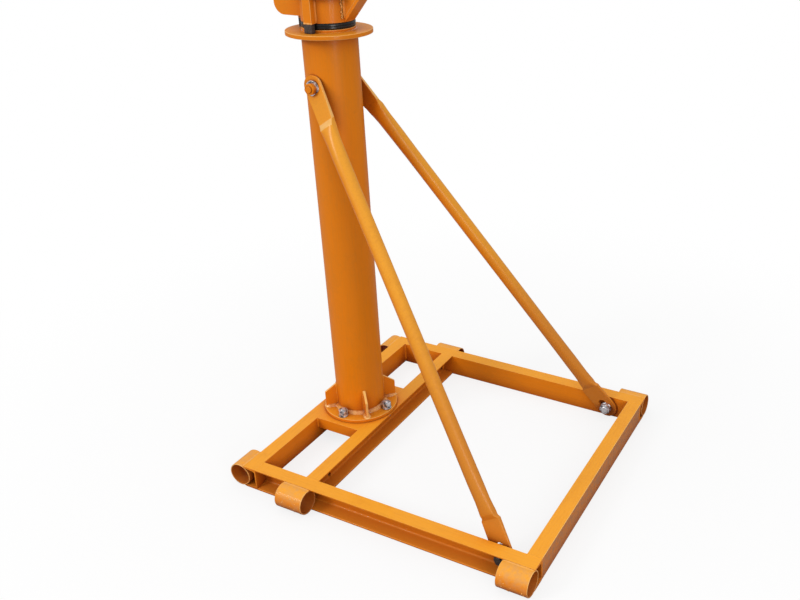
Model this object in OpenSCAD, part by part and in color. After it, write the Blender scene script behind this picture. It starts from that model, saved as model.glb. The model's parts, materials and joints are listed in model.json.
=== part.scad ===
// Base frame, mast and slewing head of a portable mini crane.
// X runs along the base towards the jib side, Y across it, Z up; the ground is z = 0.

/* [Channel steel] */
// Height of the channel section
channel_h = 80; // [60:1:120]
// Width of its flanges
channel_w = 48; // [40:1:65]
// Thickness of its web
web_t = 5; // [4:0.5:8]
// Thickness of a flange at half its width
flange_t = 8; // [6:0.5:11]
// Slope of the inner face of a flange
flange_slope = 0.1; // [0.05:0.01:0.12]
// Radius between web and flange
root_r = 7; // [4:0.5:10]
// Radius at the tip of a flange
toe_r = 3.5; // [2:0.5:4]

/* [Base] */
// Length of the side rails
rail_len = 1000; // [700:10:1400]
// Width of the base over the flanges of the side rails
base_w = 970; // [700:10:1300]
// Clear length between the rear web and the middle web
mast_bay = 172; // [150:1:240]
// Diameter of the two holes low in the middle web
web_hole_d = 14; // [8:1:16]
// Height of these holes
web_hole_z = 17; // [15:1:30]
// Distance of the right hole from the rail
right_hole_in = 107; // [20:1:200]
// Distance of the left hole from the rail
left_hole_in = 13; // [10:1:200]

/* [Mast seats] */
// Width of the two short channels under the mast foot
seat_w = 80; // [60:1:110]
// Depth of their flanges
seat_h = 40; // [30:1:60]

/* [Sleeves] */
// Outer diameter of the outrigger sleeves
sleeve_d = 80; // [50:1:100]
// Wall of the sleeves
sleeve_wall = 4; // [3:0.5:6]
// Length of the sleeves beside the rails
side_sleeve_len = 100; // [60:5:160]
// Length of the sleeves behind the rear channel
rear_sleeve_len = 90; // [60:5:160]
// Sleeve axis beyond the flange tip, beside the rails
side_sleeve_out = 15; // [12:1:25]
// Sleeve axis beyond the flange tip, at the rear
rear_sleeve_out = 20; // [12:1:25]

/* [Mast] */
// Outer diameter of the mast tube
mast_d = 168; // [120:1:180]
// Wall of the mast tube
mast_wall = 6; // [4:0.5:10]
// Length of the mast tube
mast_len = 1300; // [900:10:1600]
// Thickness of the plates at both ends of the mast
plate_t = 12; // [8:1:20]
// Rim of these plates outside the circle of the foot bolts
plate_rim = 20; // [15:1:30]
// Diameter of the foot bolt holes
foot_hole_d = 17.5; // [13:0.5:22]

/* [Gussets] */
// Thickness of the gussets
gusset_t = 8; // [6:0.5:12]
// Height of a gusset at the mast
gusset_in_h = 90; // [70:1:140]
// Height of a gusset at its outer edge
gusset_out_h = 60; // [30:1:70]
// Distance of the outer edge from the rim of the foot plate
gusset_rim = 4; // [2:0.5:10]

/* [Braces] */
// Outer diameter of the brace tubes
brace_d = 45; // [32:1:54]
// Wall of the brace tubes
brace_wall = 3.5; // [2.5:0.5:5]
// Width of the flattened ends
flat_w = 68; // [50:1:80]
// Distance from a bolt to the rounded tip of its flattened end
flat_tip = 38; // [30:1:45]
// Distance from a bolt towards the tip at which the flattened end leaves its seat
flat_lift = 12; // [8:1:20]
// Distance from the upper bolt to the crease, where the flat end turns into the tube
upper_crease = 98; // [80:1:140]
// Distance from the lower bolt to the crease
lower_crease = 104; // [80:1:140]
// How far the upper crease stands out from the mast
upper_stand = 27; // [20:1:40]
// How far the lower crease stands in from the rail
lower_stand = 31; // [20:1:40]
// How far the tube's axis lies outside the upper flat end
upper_out = 11; // [0:1:15]
// Length over which the flat end turns into the round tube
swage_len = 110; // [60:1:140]
// Diameter of the brace bolt holes
brace_hole_d = 26; // [17:0.5:28]
// Length of the slotted hole at the lower end
slot_len = 42; // [30:1:60]
// Depth of the upper bolts below the mast's top plate
upper_bolt_drop = 146; // [100:1:300]
// Distance of the upper bolts behind the mast axis
upper_bolt_back = 6; // [0:1:12]
// Distance of the lower bolts behind the front ends of the rails
lower_bolt_back = 125; // [110:1:250]
// Height of the flattened ends' tips over the ground
tip_lift = 2; // [1:1:10]

/* [Slewing ring] */
// Outer diameter of the slewing ring
ring_d = 160; // [120:1:170]
// Inner diameter of the slewing ring
ring_bore = 112; // [80:1:120]
// Height of the collar under the ring
collar_h = 8; // [4:1:15]
// Height of the slewing ring
ring_h = 18; // [12:1:30]
// Depth of the seam between the two races
seam = 1.5; // [1:0.5:3]
// Running gap between ring and head
head_gap = 0.5; // [0.3:0.1:1]

/* [Slewing head] */
// Height of the head's hub
hub_h = 70; // [50:1:120]
// Wall of the hub
hub_wall = 8; // [6:0.5:12]
// Width of the brackets over their cheeks
bracket_w = 50; // [40:1:80]
// Thickness of the cheeks and of the jib bracket's sole
cheek_t = 8; // [6:0.5:12]
// How far the jib bracket leans out for each millimetre of height
jib_lean = 0.85; // [0.5:0.05:1]
// How far the jib bracket's foot lies inside the hub's outer face
jib_step = 3; // [2:0.5:6]
// Reach of the rear bracket from the mast axis
wing_reach = 178; // [140:1:240]
// Radius of the rear bracket's lower corner
wing_corner = 36; // [20:1:50]
// Height of the rear bracket's lower edge above the foot of the hub
wing_lift = 7; // [5:1:20]
// Thickness of the head's top plate
top_t = 8; // [6:1:16]
// Depth of the guide ribs outside the hub
rib_depth = 20; // [14:1:40]
// Width of the guide ribs and of their shoes
rib_w = 28; // [16:1:32]
// Running gap between the shoes and the mast's top plate
shoe_gap = 1; // [0.5:0.5:3]
// Clearance between the shoes and the slewing ring
ring_clear = 5; // [3:1:10]

/* [Hidden] */
$fn = 96;
cut = 1;
// How far the swage's two ends lie inside the pieces that they run into
nest = 0.5;
paint = [0.86, 0.47, 0.10];
dark_steel = [0.25, 0.24, 0.25];
black = [0.05, 0.05, 0.06];

// Base
rear_reach = channel_w + rear_sleeve_out + sleeve_d / 2;
rear_x = (rear_reach - rail_len) / 2;
front_x = rear_x + rail_len;
middle_x = rear_x + mast_bay;
rail_y = base_w / 2 - channel_w;
side_sleeve_y = base_w / 2 + side_sleeve_out;
rear_sleeve_x = rear_x - channel_w - rear_sleeve_out;
sleeve_z = sleeve_d / 2;

// Mast: its foot bolts stand on the middle lines of the rear, middle and seat channels
mast_x = rear_x + mast_bay / 2;
foot_pcd = mast_bay + channel_w;
plate_d = foot_pcd + 2 * plate_rim;
foot_z = channel_h + plate_t;
mast_top = foot_z + mast_len;

// Slewing head
ring_r = ring_d / 2;
collar_z = mast_top + plate_t;
ring_z = collar_z + collar_h;
head_z = ring_z + ring_h + head_gap;
top_z = head_z + hub_h;
rib_r = ring_r + rib_depth;
jib_reach = ring_r + jib_lean * hub_h - jib_step;

// Braces: u runs along a brace from its upper to its lower bolt, in a plane parallel to the rails
flat_t = 2 * brace_wall;
upper_x = mast_x - upper_bolt_back;
upper_y = mast_d / 2 + flat_t / 2;
upper_z = mast_top - upper_bolt_drop;
lower_x = front_x - lower_bolt_back;
lower_y = rail_y - flat_t / 2;
lower_z = flat_tip + tip_lift;
span = norm([lower_x - upper_x, upper_z - lower_z]);
dip = atan2(upper_z - lower_z, lower_x - upper_x);
tube_run = span - upper_crease - lower_crease;
tube_out = lower_y - lower_stand - upper_y - upper_stand - upper_out;
splay = atan2(tube_out, tube_run);
tube_len = norm([tube_run, tube_out]) - 2 * swage_len;

// Points of an arc about c, from angle a to angle b
function arc(c, r, a, b, steps = 6) =
    [for (i = [0:steps]) c + r * [cos(a + (b - a) * i / steps), sin(a + (b - a) * i / steps)]];

function backwards(points) = [for (i = [len(points) - 1:-1:0]) points[i]];

// Direction of step i of a path
function heading(path, i) = atan2(path[i + 1].y - path[i].y, path[i + 1].x - path[i].x);

// One edge of a strip: the path moved sideways by d, with mitred corners
function strip_edge(path, d) = [for (i = [0:len(path) - 1])
    let (before = heading(path, max(i - 1, 0)), after = heading(path, min(i, len(path) - 2)),
        middle = (before + after) / 2)
    path[i] + d / cos(after - middle) * [-sin(middle), cos(middle)]];

// Everything is drawn on the left, +Y, and mirrored for the right
module side(s) {
    if (s < 0) mirror([0, 1, 0]) children();
    else children();
}

// Hot-rolled channel: back of the web on the Y axis, flanges towards +X, from y = 0 to y = h
module channel_section(h, w) {
    slope = atan(flange_slope);
    root_x = web_t + root_r;
    toe_x = w - toe_r;
    root_y = flange_t + flange_slope * (w / 2 - root_x) + root_r / cos(slope);
    toe_y = flange_t + flange_slope * (w / 2 - toe_x) - toe_r / cos(slope);
    lower = concat([[0, 0], [w, 0]], arc([toe_x, toe_y], toe_r, 0, 90 - slope),
        arc([root_x, root_y], root_r, 270 - slope, 180));
    upper = [for (p = backwards(lower)) [p.x, h - p.y]];
    polygon(concat(lower, upper));
}

// A length of upright channel along +Y, flanges towards +X
module channel(length) {
    translate([0, length, 0]) rotate([90, 0, 0]) linear_extrude(length)
        channel_section(channel_h, channel_w);
}

module tube(d, wall, length) {
    difference() {
        cylinder(d = d, h = length);
        translate([0, 0, -cut]) cylinder(d = d - 2 * wall, h = length + 2 * cut);
    }
}

// Places for the sleeves of the left side: their axes start at the outer end
module at_side_sleeve(end_x) {
    translate([end_x, side_sleeve_y, sleeve_z]) rotate([0, -90, 0]) children();
}
module at_rear_sleeve() {
    translate([rear_sleeve_x, base_w / 2, sleeve_z]) rotate([90, 0, 0]) children();
}

// The room that the sleeves of the left side take out of the channels' flanges
module sleeve_room() {
    for (end_x = [middle_x + channel_w, front_x])
        at_side_sleeve(end_x) translate([0, 0, -cut]) cylinder(d = sleeve_d, h = side_sleeve_len + 2 * cut);
    at_rear_sleeve() translate([0, 0, -cut]) cylinder(d = sleeve_d, h = rear_sleeve_len + 2 * cut);
}

module foot_holes(bottom, top) {
    for (a = [0:90:270]) translate([mast_x, 0, bottom]) rotate(a) translate([foot_pcd / 2, 0, 0])
        cylinder(d = foot_hole_d, h = top - bottom);
}

module side_rail(s) {
    color(paint) side(s) difference() {
        translate([front_x, rail_y, 0]) rotate(90) channel(rail_len);
        sleeve_room();
        translate([lower_x, rail_y - cut, lower_z]) rotate([-90, 0, 0])
            cylinder(d = brace_hole_d, h = web_t + 2 * cut);
    }
}
module side_rail_right() { side_rail(-1); }
module side_rail_left() { side_rail(1); }

module rear_channel() {
    color(paint) difference() {
        translate([rear_x, base_w / 2, 0]) rotate(180) channel(base_w);
        for (s = [-1, 1]) side(s) sleeve_room();
        foot_holes(channel_h - 2 * flange_t, channel_h + cut);
    }
}

module middle_channel() {
    color(paint) difference() {
        translate([middle_x, -rail_y, 0]) channel(2 * rail_y);
        for (y = [right_hole_in - rail_y, rail_y - left_hole_in]) translate([middle_x - cut, y, web_hole_z])
            rotate([0, 90, 0]) cylinder(d = web_hole_d, h = web_t + root_r);
        foot_holes(channel_h - 2 * flange_t, channel_h + cut);
    }
}

module front_channel() {
    color(paint) translate([front_x, rail_y, 0]) rotate(180) channel(2 * rail_y);
}

// A short channel laid flat between the rear and the middle channel, web up
module mast_seat(s) {
    color(paint) side(s) difference() {
        translate([rear_x, (foot_pcd - seat_w) / 2, channel_h]) rotate([0, 90, 0])
            linear_extrude(mast_bay) channel_section(seat_w, seat_h);
        foot_holes(channel_h - 2 * web_t, channel_h + cut);
    }
}
module mast_seat_right() { mast_seat(-1); }
module mast_seat_left() { mast_seat(1); }

module rear_sleeve(s) {
    color(paint) side(s) at_rear_sleeve() tube(sleeve_d, sleeve_wall, rear_sleeve_len);
}
module side_sleeve(s, end_x) {
    color(paint) side(s) at_side_sleeve(end_x) tube(sleeve_d, sleeve_wall, side_sleeve_len);
}
module sleeve_rear_right() { rear_sleeve(-1); }
module sleeve_rear_left() { rear_sleeve(1); }
module sleeve_middle_right() { side_sleeve(-1, middle_x + channel_w); }
module sleeve_middle_left() { side_sleeve(1, middle_x + channel_w); }
module sleeve_front_right() { side_sleeve(-1, front_x); }
module sleeve_front_left() { side_sleeve(1, front_x); }

module foot_plate() {
    color(paint) difference() {
        translate([mast_x, 0, channel_h]) cylinder(d = plate_d, h = plate_t);
        foot_holes(channel_h - cut, foot_z + cut);
    }
}

module mast_tube() {
    color(paint) difference() {
        translate([mast_x, 0, foot_z]) tube(mast_d, mast_wall, mast_len);
        translate([upper_x, 0, upper_z]) rotate([90, 0, 0])
            cylinder(d = brace_hole_d, h = mast_d + 2 * cut, center = true);
    }
}

module mast_top_plate() {
    color(paint) translate([mast_x, 0, mast_top]) cylinder(d = plate_d, h = plate_t);
}

module gusset(angle) {
    outer = plate_d / 2 - gusset_rim;
    inner = mast_d / 2 - mast_wall;
    color(paint) translate([mast_x, 0, foot_z]) difference() {
        rotate(angle) rotate([90, 0, 0]) linear_extrude(gusset_t, center = true)
            polygon([[inner, 0], [outer, 0], [outer, gusset_out_h], [mast_d / 2, gusset_in_h],
                [inner, gusset_in_h]]);
        translate([0, 0, -cut]) cylinder(d = mast_d, h = gusset_in_h + 2 * cut);
    }
}
module gusset_front_right() { gusset(-45); }
module gusset_front_left() { gusset(45); }
module gusset_rear_right() { gusset(-135); }
module gusset_rear_left() { gusset(135); }

// One end of a brace, with the bolt at the origin and the tube towards +X. The tip of the flattened end
// lies on its seat, and the rest rises straight to the crease. There it turns into the tube, whose axis
// lies out beyond the flat by the given distance.
module brace_end(crease, stand, out) {
    tip_x = flat_w / 2 - flat_tip;
    foot = [crease, stand];
    path = [[-flat_tip, 0], [-flat_lift, 0], foot, foot + [cos(splay), sin(splay)]];
    intersection() {
        linear_extrude(flat_w, center = true)
            polygon(concat(strip_edge(path, flat_t / 2), backwards(strip_edge(path, -flat_t / 2))));
        rotate([90, 0, 0]) linear_extrude(4 * stand, center = true) {
            translate([tip_x, 0]) circle(d = flat_w);
            translate([tip_x, -flat_w / 2]) square([crease + flat_w, flat_w]);
        }
    }
    hull() {
        translate(foot) rotate(splay) translate([0, nest - flat_t / 2, nest - flat_w / 2])
            cube([cut, flat_t - 2 * nest, flat_w - 2 * nest]);
        translate(foot + [0, out]) rotate(splay) translate([swage_len, 0, 0]) rotate([0, 90, 0])
            cylinder(d = brace_d - 2 * nest, h = cut, $fn = 32);
    }
}

// The hole for a bolt through a flattened end, which slants by the height of the crease over its seat
module bolt_hole(stand) {
    rotate([90, 0, 0]) cylinder(d = brace_hole_d, h = 2 * stand, center = true);
}

module brace(s) {
    drawn_out = slot_len - brace_hole_d;

    color(paint) side(s) translate([upper_x, 0, upper_z]) rotate([0, dip, 0]) difference() {
        union() {
            translate([0, upper_y, 0]) brace_end(upper_crease, upper_stand, upper_out);
            translate([span, lower_y, 0]) rotate(180) brace_end(lower_crease, lower_stand, 0);
            translate([upper_crease, upper_y + upper_stand + upper_out, 0]) rotate(splay)
                translate([swage_len, 0, 0]) rotate([0, 90, 0]) tube(brace_d, brace_wall, tube_len);
        }
        translate([0, upper_y, 0]) bolt_hole(upper_stand);
        translate([span, lower_y, 0]) {
            bolt_hole(lower_stand);
            translate([-drawn_out, 0, 0]) bolt_hole(lower_stand);
            translate([-drawn_out, -lower_stand, -brace_hole_d / 2])
                cube([drawn_out, 2 * lower_stand, brace_hole_d]);
        }
    }
}
module brace_right() { brace(-1); }
module brace_left() { brace(1); }

module at_mast(z) {
    translate([mast_x, 0, z]) children();
}

module ring_collar() {
    color(paint) at_mast(collar_z) cylinder(d = ring_d, h = collar_h);
}

// Two rounded races with a seam between them
module slewing_ring() {
    round_r = ring_h / 4;
    lower = concat([[ring_bore / 2, 0]], arc([ring_r - round_r, round_r], round_r, -90, 0),
        arc([ring_r - seam, ring_h / 2 - seam], seam, 0, 90, 2));
    upper = [for (p = backwards(lower)) [p.x, ring_h - p.y]];
    color(black) at_mast(ring_z) rotate_extrude() polygon(concat(lower, upper));
}

module head_hub() {
    color(paint) at_mast(head_z) tube(ring_d, hub_wall, hub_h);
}

module head_top_plate() {
    color(paint) at_mast(top_z) linear_extrude(top_t) {
        circle(r = rib_r);
        translate([-wing_reach, -bracket_w / 2]) square([wing_reach + jib_reach, bracket_w]);
    }
}

// A plate of the given outline that stands in the X-Z plane beside the hub, coped to it
module head_plate(y, t, outline) {
    at_mast(head_z) difference() {
        translate([0, y + t, 0]) rotate([90, 0, 0]) linear_extrude(t) polygon(outline);
        translate([0, 0, -cut]) cylinder(d = ring_d, h = hub_h + 2 * cut);
    }
}

// Thickness of the slanted sole, measured level
sole_x = cheek_t * sqrt(1 + jib_lean * jib_lean);
function jib_x(z) = ring_r - jib_step + jib_lean * z;

module jib_cheek(s) {
    color(paint) side(s) head_plate(bracket_w / 2 - cheek_t, cheek_t,
        [[0, 0], [jib_x(0) - sole_x, 0], [jib_x(hub_h) - sole_x, hub_h], [0, hub_h]]);
}
module jib_cheek_right() { jib_cheek(-1); }
module jib_cheek_left() { jib_cheek(1); }

module jib_sole() {
    color(paint) head_plate(-bracket_w / 2, bracket_w,
        [[jib_x(0) - sole_x, 0], [jib_x(0), 0], [jib_x(hub_h), hub_h], [jib_x(hub_h) - sole_x, hub_h]]);
}

module wing_cheek(s) {
    corner = [wing_corner - wing_reach, wing_lift + wing_corner];
    color(paint) side(s) head_plate(bracket_w / 2 - cheek_t, cheek_t,
        concat([[0, hub_h], [-wing_reach, hub_h]], arc(corner, wing_corner, 180, 270, 12),
            [[0, wing_lift]]));
}
module wing_cheek_right() { wing_cheek(-1); }
module wing_cheek_left() { wing_cheek(1); }

// Upright bar on the outside of the hub
module guide_rib(angle) {
    color(paint) at_mast(head_z) difference() {
        rotate(angle) translate([ring_r - hub_wall, -rib_w / 2, 0])
            cube([rib_depth + hub_wall, rib_w, hub_h]);
        translate([0, 0, -cut]) cylinder(d = ring_d, h = hub_h + 2 * cut);
    }
}
module guide_rib_right() { guide_rib(-90); }
module guide_rib_left() { guide_rib(90); }
module guide_rib_rear() { guide_rib(180); }

// Block under a rib that runs over the mast's top plate, clear of the ring
module guide_shoe(angle) {
    color(dark_steel) at_mast(collar_z + shoe_gap) rotate(angle)
        translate([ring_r + ring_clear, -rib_w / 2, 0])
            cube([rib_depth - ring_clear, rib_w, head_z - collar_z - shoe_gap]);
}
module guide_shoe_right() { guide_shoe(-90); }
module guide_shoe_left() { guide_shoe(90); }
module guide_shoe_rear() { guide_shoe(180); }

side_rail_right();
side_rail_left();
rear_channel();
middle_channel();
front_channel();
mast_seat_right();
mast_seat_left();
sleeve_rear_right();
sleeve_rear_left();
sleeve_middle_right();
sleeve_middle_left();
sleeve_front_right();
sleeve_front_left();
foot_plate();
mast_tube();
gusset_front_right();
gusset_front_left();
gusset_rear_right();
gusset_rear_left();
mast_top_plate();
brace_right();
brace_left();
ring_collar();
slewing_ring();
head_hub();
head_top_plate();
jib_cheek_right();
jib_cheek_left();
jib_sole();
wing_cheek_right();
wing_cheek_left();
guide_rib_right();
guide_rib_left();
guide_rib_rear();
guide_shoe_right();
guide_shoe_left();
guide_shoe_rear();
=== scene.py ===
# %% [markdown]
# # A portable mini crane: floor frame, braced mast and slewing head
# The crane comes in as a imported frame: plain steel shapes at their real sizes, in metres, with +Z up and
# the ground at z = 0. This lesson gives them their looks. The steel shapes get soft edges and glossy orange
# paint, and the things that a drawing leaves out are added: bolts, washers, weld beads and spatter.

import json
import math
import random

import bmesh
import bpy
from mathutils import Matrix, Vector, noise

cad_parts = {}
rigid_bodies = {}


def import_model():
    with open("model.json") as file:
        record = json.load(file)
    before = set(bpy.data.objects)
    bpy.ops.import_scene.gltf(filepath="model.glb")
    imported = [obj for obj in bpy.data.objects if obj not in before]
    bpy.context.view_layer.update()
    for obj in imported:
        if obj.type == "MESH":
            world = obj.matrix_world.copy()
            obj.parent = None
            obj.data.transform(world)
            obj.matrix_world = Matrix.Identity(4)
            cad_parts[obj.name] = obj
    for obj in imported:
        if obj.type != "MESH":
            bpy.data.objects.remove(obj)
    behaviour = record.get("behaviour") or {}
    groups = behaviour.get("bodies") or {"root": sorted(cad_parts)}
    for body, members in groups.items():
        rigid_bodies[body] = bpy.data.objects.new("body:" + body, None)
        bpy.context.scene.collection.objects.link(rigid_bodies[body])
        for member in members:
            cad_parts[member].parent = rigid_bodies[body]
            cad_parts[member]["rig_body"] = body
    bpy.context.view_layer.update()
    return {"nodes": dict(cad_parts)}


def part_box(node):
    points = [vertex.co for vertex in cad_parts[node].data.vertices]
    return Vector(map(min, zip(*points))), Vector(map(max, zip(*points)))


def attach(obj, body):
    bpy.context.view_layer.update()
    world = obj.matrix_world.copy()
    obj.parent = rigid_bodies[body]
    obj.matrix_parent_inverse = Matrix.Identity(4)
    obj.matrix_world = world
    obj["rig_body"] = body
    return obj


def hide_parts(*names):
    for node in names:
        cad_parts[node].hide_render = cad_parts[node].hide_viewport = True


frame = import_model()
MM = 0.001
print("frame loaded:", len(frame["nodes"]), "steel parts")

# %% [markdown]
# ## Where the crane is seen from
# The crane is looked at from its right and a little from the front, from about head height. Its camera is
# turned in three steps: it is rolled by half a degree while it looks straight down, then tilted up, and then
# swung round the upright axis. The step that is done first stands last in the product of the rotations.

# %% Set up the camera
CAMERA_PLACE = Vector((1.2953, -2.1945, 1.8698))
CAMERA_SWING, CAMERA_TILT, CAMERA_ROLL = math.radians(27.176), math.radians(63.092), math.radians(-0.458)

camera_data = bpy.data.cameras.new("camera")
camera_data.lens = 39.8
camera_data.shift_x = -0.1121
camera = bpy.data.objects.new("camera", camera_data)
camera.matrix_world = (
    Matrix.Translation(CAMERA_PLACE)
    @ Matrix.Rotation(CAMERA_SWING, 4, "Z")
    @ Matrix.Rotation(CAMERA_TILT, 4, "X")
    @ Matrix.Rotation(CAMERA_ROLL, 4, "Z")
)
bpy.context.scene.collection.objects.link(camera)
bpy.context.scene.camera = camera
bpy.context.scene.view_settings.view_transform = "Standard"
print("camera stands", round(CAMERA_PLACE.z, 2), "m high")

# %% [markdown]
# ## Sizes taken from the frame
# Every added piece goes where the steel already is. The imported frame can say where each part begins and
# ends, so the places of bolts and welds are worked out from those boxes. Only the sizes that no box shows,
# such as the radius of a bolt circle, are written down as numbers, in the cell that needs them.

# %% Measure the steel
def middle(node):
    low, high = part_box(node)
    return (low + high) / 2


def top_of(node):
    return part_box(node)[1].z


mast = middle("mast_tube")
mast_x = mast.x
mast_r = (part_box("mast_tube")[1].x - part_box("mast_tube")[0].x) / 2
foot_z = top_of("foot_plate")
mast_top_z = top_of("mast_tube")
top_plate_z = top_of("mast_top_plate")
hub_low_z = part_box("head_hub")[0].z
hub_top_z = top_of("head_hub")
hub_height = hub_top_z - hub_low_z
hub_r = (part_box("head_hub")[1].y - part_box("head_hub")[0].y) / 2
rail_z = top_of("side_rail_left")
rail_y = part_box("side_rail_left")[0].y
rail_out_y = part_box("side_rail_left")[1].y
rear_x, rear_in_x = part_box("rear_channel")[0].x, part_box("rear_channel")[1].x
front_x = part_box("front_channel")[1].x
middle_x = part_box("middle_channel")[0].x


def outwards(degrees):
    """The level direction away from the mast at that many degrees."""
    return Vector((math.cos(math.radians(degrees)), math.sin(math.radians(degrees)), 0))


def sideways(out):
    """The level direction a quarter turn on from out."""
    return Vector((-out.y, out.x, 0))


print("mast at x", round(mast_x, 3), "radius", round(mast_r, 3), "foot at", round(foot_z, 3))

# %% [markdown]
# ## A way to write shader maths
# A finish is a web of nodes, and plugging them together by hand hides what it computes. The class Signal
# wraps one output socket and teaches it Python's arithmetic, so that `0.3 + 0.2 * grain` adds two Math nodes.
# The class Finish holds one material: its method `node` makes any other node from its type, its settings
# and the values or signals for its sockets.

# %% Signals and finishes
class Signal:
    """One output socket of a finish, on which Python's arithmetic adds Math nodes."""

    def __init__(self, finish, socket):
        self.finish = finish
        self.socket = socket

    def maths(self, operation, *values):
        inputs = dict(enumerate(values))
        return self.finish.node("ShaderNodeMath", {"operation": operation}, inputs)

    def __add__(self, other):
        return self.maths("ADD", self, other)

    def __mul__(self, other):
        return self.maths("MULTIPLY", self, other)

    def __sub__(self, other):
        return self.maths("SUBTRACT", self, other)

    def __rsub__(self, other):
        return self.maths("SUBTRACT", other, self)

    __radd__ = __add__
    __rmul__ = __mul__


class Finish:
    """The node tree of a material, or of the sky, while it is being mixed."""

    def __init__(self, owner):
        owner.use_nodes = True
        self.owner = owner
        self.tree = owner.node_tree

    def plug(self, socket, value):
        if isinstance(value, Signal):
            self.tree.links.new(value.socket, socket)
        else:
            socket.default_value = value

    def node(self, kind, settings, inputs, output=0):
        made = self.tree.nodes.new(kind)
        for name, value in settings.items():
            setattr(made, name, value)
        for name, value in inputs.items():
            self.plug(made.inputs[name], value)
        return Signal(self, made.outputs[output])

    def set(self, node, **values):
        for name, value in values.items():
            self.plug(self.tree.nodes[node].inputs[name.replace("_", " ")], value)


def new_finish(name):
    finish = Finish(bpy.data.materials.new(name))
    finish.place = finish.node("ShaderNodeTexCoord", {}, {}, "Object")
    return finish


print("finishes are mixed with", Finish.node.__name__)

# %% [markdown]
# ## Patterns that paint and steel share
# Three patterns come back in most finishes. A cloud is soft noise of a chosen grain, given in millimetres.
# A ramp turns a signal into a mask between two limits. A blend goes from one colour to another.
# Bumps are built from the same clouds, and their heights are given in millimetres too.

# %% Clouds, ramps and blends
def cloud(finish, grain, detail=2.0, stretch=(1, 1, 1), seed=0.0):
    """Soft noise from 0 to 1 whose lumps are about grain millimetres wide."""
    stretched = finish.node(
        "ShaderNodeMapping", {}, {"Vector": finish.place, "Location": (seed, seed, seed), "Scale": stretch}
    )
    return finish.node(
        "ShaderNodeTexNoise", {}, {"Vector": stretched, "Scale": 1 / (grain * MM), "Detail": detail}
    )


def ramp(finish, signal, low, high):
    """0 where the signal is under low, 1 where it is over high, and smooth between them."""
    settings = {"interpolation_type": "SMOOTHSTEP"}
    return finish.node(
        "ShaderNodeMapRange", settings, {"Value": signal, "From Min": low, "From Max": high}
    )


def blend(finish, mask, first, second):
    """The first colour where the mask is 0 and the second where it is 1."""
    return finish.node(
        "ShaderNodeMix", {"data_type": "RGBA"}, {0: mask, 6: first, 7: second}, output=2
    )


def relief(finish, height, depth):
    """A bump whose full height is depth millimetres."""
    return finish.node("ShaderNodeBump", {}, {"Height": height, "Strength": 1.0, "Distance": depth * MM})


print("patterns ready: cloud, ramp, blend, relief")

# %% [markdown]
# ## Orange enamel
# The whole crane is sprayed with one glossy orange-yellow enamel of a deep orange. Painted light turns it
# yellower on faces that look up at the open sky, and painted shade darkens it between the steel, in the
# corners and on the low flanges. Sharp edges, folds and weld beads carry a pale painted highlight, and use
# rubs the paint in streaks. All of these are colours that lie over each other, each through its own mask,
# so the finish is written as a pile of layers. How open a place is comes from Ambient Occlusion nodes, which
# feel for other steel within a reach.

# %% Name the colours of the enamel
DEEP_ORANGE = (0.86, 0.235, 0.005, 1)
# Painted light: the yellower tone of faces that look up at the open sky.
SKYLIT_YELLOW = (0.90, 0.37, 0.024, 1)
# A pale painted highlight for edges, folds, weld beads and spatter.
EDGE_HIGHLIGHT = (0.95, 0.58, 0.20, 1)
RUBBED = (0.62, 0.20, 0.02, 1)
# Painted shade for corners and deep hollows.
CORNER_SHADE = (0.16, 0.035, 0.004, 1)
SHADED = (0.42, 0.085, 0.006, 1)
# A darker tone for the inside of the sleeves.
DARKER_BORE = (0.42, 0.10, 0.008, 1)
DUST = (0.62, 0.34, 0.16, 1)
# Painted shade for the low upward faces, mostly the lower flanges.
LOW_FLANGE_SHADE = (0.64, 0.19, 0.016, 1)
# Painted sheen for faces that look forward, patchy with scuffs.
FRONT_SHEEN_AND_SCUFFS = (0.40, 0.20, 0.11, 1)
# The painted shade of the low upward faces fades out between these two heights.
LOW_SHADE_FULL, LOW_SHADE_GONE = 45 * MM, 60 * MM
print("silt lies on flanges lower than", LOW_SHADE_GONE, "m")

# %% Feel the steel under the paint
def openness(finish, reach):
    """1 on open steel, and less where other steel stands within reach millimetres of it."""
    return finish.node("ShaderNodeAmbientOcclusion", {"samples": 6}, {"Distance": reach * MM}, "AO")


def facing_along(finish, axis):
    """1 where the surface faces straight along X, Y or Z, and 0 where it stands square to it."""
    normal = finish.node("ShaderNodeNewGeometry", {}, {}, "Normal")
    return finish.node("ShaderNodeSeparateXYZ", {}, {"Vector": normal}, axis)


def face_mark(finish, name):
    """The mark of that name on the faces of the mesh, or 0 where a mesh has none."""
    return finish.node("ShaderNodeAttribute", {"attribute_name": name}, {}, "Fac")


print("masks ready: openness, facing_along, face_mark")

# %% Pile up the layers of weather and wear
def lit_shaded_and_worn_layers(finish, top_light, shade):
    """Painted top light where faces look up at the open sky, painted shade on the low flanges, and rubbed and
    streaked wear.
    """
    exposed = 1 - (1 - ramp(finish, openness(finish, 160), 0.6, 0.95)) * shade
    skylit = ramp(finish, finish.facing_up + 0.3 * finish.spray, 0.2 - top_light, 1.1 - top_light)
    rubbed = ramp(finish, finish.spray * 0.6 + finish.mottle * 0.4, 0.5, 0.75)
    streaked = ramp(finish, finish.streak, 0.42, 0.75)
    return [
        (skylit * exposed, SKYLIT_YELLOW),
        (finish.silted * 0.9, LOW_FLANGE_SHADE),
        (rubbed * 0.25, RUBBED),
        (streaked * 0.18, RUBBED),
    ]


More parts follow.
